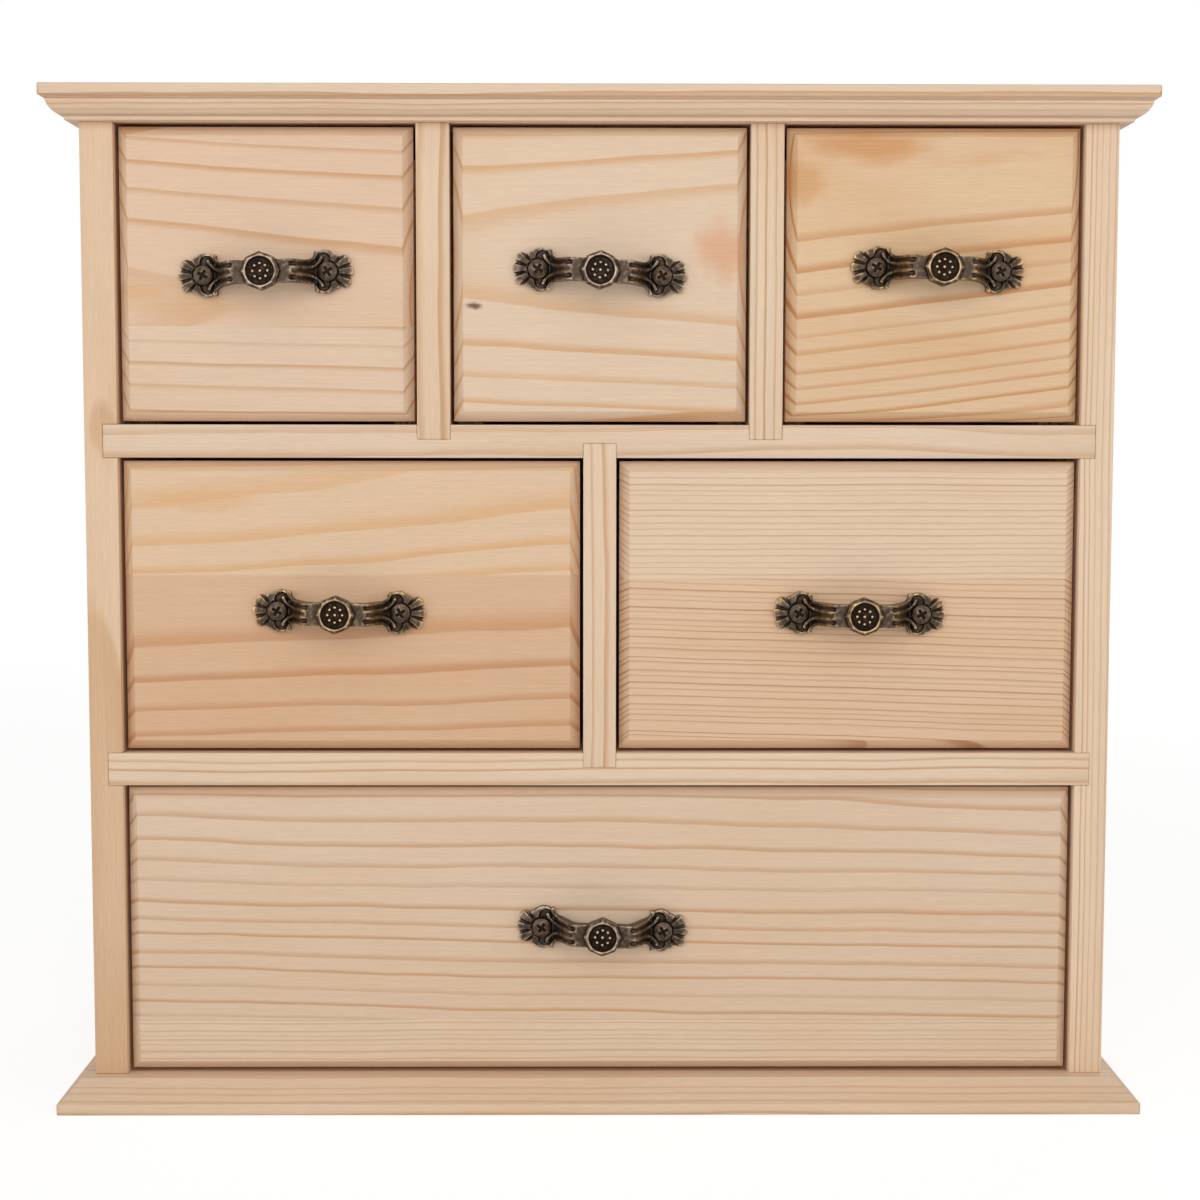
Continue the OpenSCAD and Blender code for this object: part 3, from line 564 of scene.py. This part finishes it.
def mark_wear(pattern, scales, marks):
    """Writes how rubbed each point is: 0 in hollows, 1 where it stands proud of the form around.
    Each mark is a round place that is darker or brighter than that: where it is along the bar,
    distances from its middle, the change at each of them, and its lowest and highest level.
    Places, distances and levels are in mm."""
    mesh = pattern.data
    count = len(mesh.vertices)
    points = np.empty(count * 3)
    mesh.vertices.foreach_get("co", points)
    points = points.reshape(-1, 3) / MM
    normals = np.empty(count * 3)
    mesh.vertices.foreach_get("normal", normals)
    normals = normals.reshape(-1, 3)
    ends = np.empty(len(mesh.edges) * 2, int)
    mesh.edges.foreach_get("vertices", ends)
    a, b = ends.reshape(-1, 2).T
    near = np.bincount(a, minlength=count) + np.bincount(b, minlength=count)
    wear = np.full(count, 0.5)
    soft = points
    done = 0
    for passes, height in scales:
        for _ in range(passes - done):
            total = [np.bincount(a, soft[b, k], count) + np.bincount(b, soft[a, k], count)
                     for k in range(3)]
            soft = (soft + np.array(total).T / near[:, None]) / 2
        done = passes
        wear += ((points - soft) * normals).sum(1) / (2 * height)
    level = -points[:, 1]
    for x, distances, changes, bottom, top in marks:
        away = np.hypot(points[:, 0] - x, points[:, 2])
        wear += np.interp(away, distances, changes) * ((level > bottom) & (level < top))
    layer = mesh.attributes.new("wear", "FLOAT", "POINT")
    layer.data.foreach_set("value", np.clip(wear, 0, 1).astype(np.float32))


def copied(pattern, node, name):
    """A copy of a pattern on the pull's place, with its own mesh."""
    piece = bpy.data.objects.new(name, pattern.data.copy())
    piece.data.transform(pull_place(node))
    bpy.context.scene.collection.objects.link(piece)
    return piece


steel_wire = wire_steel("bright wire")
grey_bronze = aged_bronze("antique bronze, greyed", rubbed="#BCA68F")
gold_bronze = aged_bronze("antique bronze, golden", rubbed="#C8A97C")
screw_bronze = aged_bronze("bronzed steel", rubbed="#98836C", hollow="#221913", body="#4F4237",
                           rough=0.4)

pull_pattern = casting("top_left_drawer_pull", PULL_VOXEL, PULL_PASSES)
run_out_grooves(pull_pattern)
mark_wear(pull_pattern, PULL_WEAR, [DISC, BEADS, *SHELLS, *ARMS])
screw_pattern = casting("top_left_drawer_pull_screws", SCREW_VOXEL, SCREW_PASSES)
mark_wear(screw_pattern, SCREW_WEAR, CROSSES)

for number, node in enumerate(BODY_OF, start=FREE_SEED):
    low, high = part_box(node)
    centre = (low + high) / 2
    words = node.replace("_", " ")
    if node.endswith(("_nails", "base_screws", "_pins")):
        solid = frame["nodes"][node]
        solid.data.materials.clear()
        solid.data.materials.append(steel_wire)
    elif node.endswith("_pull"):
        greyed = node.startswith(("top_left", "top_middle", "bottom"))
        bronze = grey_bronze if greyed else gold_bronze
        place(copied(pull_pattern, node, node + "_cast"), node, bronze)
    elif node.endswith("_pull_screws"):
        place(copied(screw_pattern, node, node + "_turned"), node, screw_bronze)
    elif node.endswith(("_bottom", "back_panel")):
        pith = (0, PEELED_AT, 0) if node == "back_panel" else (0, 0, -PEELED_AT)
        sheet = plywood("plywood " + words, centre, pith, number)
        place(eased_board(node, PLY_EASE), node, sheet)
    else:
        grain = GRAIN.get(node) or drawer_grain(node, number)
        wood = pine("pine " + words, centre, **grain)
        ease = FRONT_EASE if node.endswith("_front") else BOARD_EASE
        place(eased_board(node, ease), node, wood)

for pattern in (pull_pattern, screw_pattern):
    bpy.data.objects.remove(pattern)


# Stage: white floor and surroundings, soft lamps, camera

FLOOR_SIZE = 8
FLOOR_MIDDLE = (0, 1, 0)
# The floor shines by itself for the camera, by this share. It does so more strongly far from the
# chest, where the lamps reach less of it, and near the chest the shadow stays. Distances are in m.
FLOOR_SHARE = 0.6
FLOOR_NEAR, FLOOR_FAR = 0.4, 2.5
GLOW_NEAR, GLOW_FAR = 1.28, 1.52
WHITE = (1, 1, 1, 1)

# Camera, as the photograph was taken
FOCAL_PX = 2142
IMAGE_PX = 1200
SENSOR_MM = 36
CAMERA_AT = Vector((-4.17, -649.6, 187.84)) * MM
TILT_DOWN = math.radians(4.56)
TURN_RIGHT = math.radians(0.418)
ROLL = math.radians(0.062)
NEAREST_SEEN = 10 * MM


def shows_background(tree):
    """1 for what is seen directly, mirrored or through something clear, 0 for light on its way."""
    path = put(tree, "LightPath").node.outputs
    direct = put(tree, "Math", {0: path["Is Camera Ray"], 1: path["Is Glossy Ray"]},
                 operation="MAXIMUM")
    return put(tree, "Math", {0: direct, 1: path["Is Transmission Ray"]}, operation="MAXIMUM")


def white_floor():
    """White paper that is as bright as the surroundings, apart from the shadow on it."""
    bpy.ops.mesh.primitive_plane_add(size=FLOOR_SIZE, location=FLOOR_MIDDLE)
    floor = bpy.context.object
    floor.name = "floor"
    material, tree = new_material("white paper floor")
    share = put(tree, "Math", {0: shows_background(tree), 1: FLOOR_SHARE}, operation="MULTIPLY")
    paper = put(tree, "BsdfDiffuse", {"Color": linear("#F4F4F2")})
    spot = put(tree, "NewGeometry", out="Position")
    away = put(tree, "VectorMath", {0: spot}, out="Value", operation="LENGTH")
    strength = put(tree, "MapRange", {
        0: away, 1: FLOOR_NEAR, 2: FLOOR_FAR, 3: GLOW_NEAR, 4: GLOW_FAR},
        interpolation_type="SMOOTHSTEP")
    glow = put(tree, "Emission", {"Color": WHITE, "Strength": strength})
    surface = put(tree, "MixShader", {0: share, 1: paper, 2: glow})
    put(tree, "OutputMaterial", {"Surface": surface})
    floor.data.materials.append(material)


def white_surroundings(level):
    """Surroundings that light the chest by this level and look white themselves."""
    world = bpy.data.worlds.new("white surroundings")
    bpy.context.scene.world = world
    world.use_nodes = True
    tree = world.node_tree
    tree.nodes.clear()
    strength = put(tree, "MapRange", {0: shows_background(tree), 3: level, 4: 1})
    sky = put(tree, "Background", {"Color": WHITE, "Strength": strength})
    put(tree, "OutputWorld", {"Surface": sky})


def softbox(name, at, size, power):
    """A square lamp that faces the middle of the chest."""
    lamp = bpy.data.lights.new(name, "AREA")
    lamp.shape = "SQUARE"
    lamp.size = size
    lamp.energy = power
    stand = bpy.data.objects.new(name, lamp)
    stand.location = at
    middle = Vector((0, 0, (cad_box[0][2] + cad_box[1][2]) / 2))
    stand.rotation_euler = (middle - Vector(at)).to_track_quat("-Z", "Y").to_euler()
    bpy.context.scene.collection.objects.link(stand)


def photo_camera():
    lens = bpy.data.cameras.new("camera")
    lens.sensor_width = SENSOR_MM
    lens.lens = SENSOR_MM * FOCAL_PX / IMAGE_PX
    lens.clip_start = NEAREST_SEEN
    camera = bpy.data.objects.new("camera", lens)
    camera.location = CAMERA_AT
    aim = Euler((math.pi / 2 - TILT_DOWN, 0, -TURN_RIGHT)).to_matrix()
    camera.rotation_euler = (aim @ Matrix.Rotation(ROLL, 3, "Z")).to_euler()
    bpy.context.scene.collection.objects.link(camera)
    bpy.context.scene.camera = camera


white_floor()
white_surroundings(level=0.32)
softbox("left softbox", at=(-1.2, -0.8, 0.4), size=0.9, power=3.4)
softbox("right softbox", at=(1.2, -0.8, 0.4), size=0.9, power=3.4)
softbox("front softbox", at=(-0.1, -1.6, 0.7), size=1.2, power=9)
softbox("top softbox", at=(0, -0.5, 1.5), size=1, power=2.2)
softbox("back softbox", at=(0.5, 1.5, 0.7), size=1, power=5)
photo_camera()
bpy.context.scene.view_settings.view_transform = "Standard"
